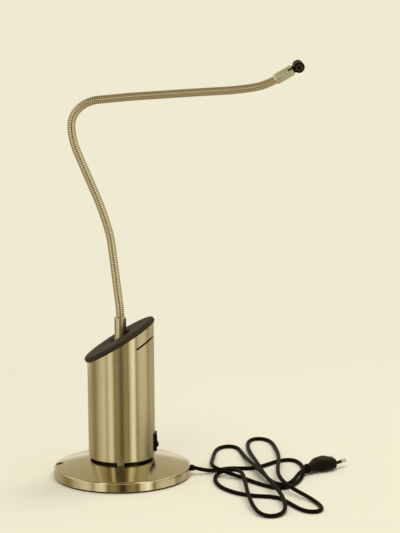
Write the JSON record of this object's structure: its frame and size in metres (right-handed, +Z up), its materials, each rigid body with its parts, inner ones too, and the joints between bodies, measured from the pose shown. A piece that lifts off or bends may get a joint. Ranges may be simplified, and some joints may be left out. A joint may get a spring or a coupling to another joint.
{
  "type": "desk lamp",
  "caption": "Gooseneck desk lamp: weighted round base, slant-topped body tube with switch and transformer, bendable ribbed neck, swivelling bi-pin lamp holder, mains cord.",
  "frame": {"origin": "centre of the base's underside, on the table", "axes": "+Z up, +X towards the back of the body, where it is tallest and the switch and cord are; the neck lies in the XZ plane"},
  "size_m": [0.3248, 0.3168, 0.455],
  "materials": {
    "brushed_nickel": "satin brushed nickel plating with a warm cast",
    "neck_nickel": "satin nickel plated coil",
    "lid_grey": "matt dark grey paint",
    "cast_iron": "bare dark casting",
    "felt": "black felt",
    "black_plastic": "black moulded plastic",
    "black_gloss": "shiny black moulded plastic",
    "black_rubber": "black soft vinyl",
    "ivory_plastic": "ivory moulded plastic",
    "wire_plastic": "coloured wire insulation",
    "fibre": "red-brown fibre",
    "zinc_steel": "bright zinc plated steel",
    "core_steel": "wound core strip",
    "winding": "lacquered copper wire under clear tape",
    "brass": "bare brass",
    "pin_nickel": "nickel plated brass pins"
  },
  "bodies": {
    "stand": {"foot_pad": "felt", "base_weight": "cast_iron", "base_cover": "brushed_nickel", "rim_plug": "black_plastic", "body_tube": "brushed_nickel", "lid": "lid_grey", "lid_ring": "black_plastic", "lid_screws": "zinc_steel", "tie_bolt": "zinc_steel", "tie_nut": "zinc_steel", "spacer_tube": "zinc_steel", "transformer_shelf": "zinc_steel", "transformer_core": "core_steel", "transformer_winding": "winding", "transformer_pads": "black_rubber", "clamp_dish": "zinc_steel", "neck_shelf": "zinc_steel", "neck_bracket": "zinc_steel", "bracket_rivets": "zinc_steel", "pivot_bolt": "zinc_steel", "pivot_nut": "zinc_steel", "pivot_spring": "zinc_steel", "friction_washers": "fibre", "terminal_block": "ivory_plastic", "terminal_screws": "brass", "mains_leads": "wire_plastic", "low_voltage_leads": "wire_plastic", "switch_housing": "black_plastic", "switch_terminals": "brass", "strain_relief": "black_rubber", "cord_tail": "black_rubber", "cord_clamp": "ivory_plastic", "clamp_screws": "zinc_steel", "power_cord": "black_rubber", "plug_body": "black_plastic", "plug_pins": "pin_nickel", "pin_sleeves": "black_plastic"},
    "switch_rocker": {"rocker": "black_gloss"},
    "neck_foot": {"pivot_block": "zinc_steel", "neck_nipple": "brass", "lower_ferrule": "brushed_nickel", "neck_1": "neck_nickel"},
    "neck_link_2": {"neck_2": "neck_nickel"},
    "neck_link_3": {"neck_3": "neck_nickel"},
    "neck_link_4": {"neck_4": "neck_nickel"},
    "neck_link_5": {"neck_5": "neck_nickel"},
    "neck_link_6": {"neck_6": "neck_nickel"},
    "neck_link_7": {"neck_7": "neck_nickel"},
    "neck_link_8": {"neck_8": "neck_nickel"},
    "neck_link_9": {"neck_9": "neck_nickel", "collet": "brushed_nickel"},
    "head": {"lamp_holder": "black_gloss", "holder_contacts": "brass", "holder_cap": "black_plastic"}
  },
  "joints": [
    {"name": "rocker_tilt", "type": "hinge", "parent": "stand", "child": "switch_rocker", "pos_m": [0.034, 0, 0.0385], "axis": [0, 1, 0], "range_deg": [0, 20]},
    {"name": "neck_tilt", "type": "hinge", "parent": "stand", "child": "neck_foot", "pos_m": [0, 0, 0.118], "axis": [0, 1, 0], "range_deg": [-5, 5]},
    {"name": "neck_bend_1", "type": "hinge", "parent": "neck_foot", "child": "neck_link_2", "pos_m": [-0.00098, 0, 0.19396], "axis": [0, 1, 0], "range_deg": [-25, 25]},
    {"name": "neck_side_1", "type": "hinge", "parent": "neck_link_2", "child": "neck_link_3", "pos_m": [-0.00788, 0, 0.25457], "axis": [0.9945, 0, 0.1045], "range_deg": [-25, 25]},
    {"name": "neck_bend_2", "type": "hinge", "parent": "neck_link_3", "child": "neck_link_4", "pos_m": [-0.02254, 0, 0.30742], "axis": [0, 1, 0], "range_deg": [-25, 25]},
    {"name": "neck_side_2", "type": "hinge", "parent": "neck_link_4", "child": "neck_link_5", "pos_m": [-0.04244, 0, 0.35546], "axis": [0.9135, 0, 0.4067], "range_deg": [-25, 25]},
    {"name": "neck_bend_3", "type": "hinge", "parent": "neck_link_5", "child": "neck_link_6", "pos_m": [-0.03943, 0, 0.40636], "axis": [0, 1, 0], "range_deg": [-25, 25]},
    {"name": "neck_side_3", "type": "hinge", "parent": "neck_link_6", "child": "neck_link_7", "pos_m": [0.01271, 0, 0.41682], "axis": [0.0872, 0, -0.9962], "range_deg": [-25, 25]},
    {"name": "neck_bend_4", "type": "hinge", "parent": "neck_link_7", "child": "neck_link_8", "pos_m": [0.0706, 0, 0.42036], "axis": [0, 1, 0], "range_deg": [-25, 25]},
    {"name": "neck_side_4", "type": "hinge", "parent": "neck_link_8", "child": "neck_link_9", "pos_m": [0.12054, 0, 0.42298], "axis": [0.0785, 0, -0.9969], "range_deg": [-25, 25]},
    {"name": "head_swivel", "type": "hinge", "parent": "neck_link_9", "child": "head", "pos_m": [0.16886, 0, 0.4339], "axis": [0.8704, 0, 0.4924], "range_deg": [-150, 150]}
  ]
}
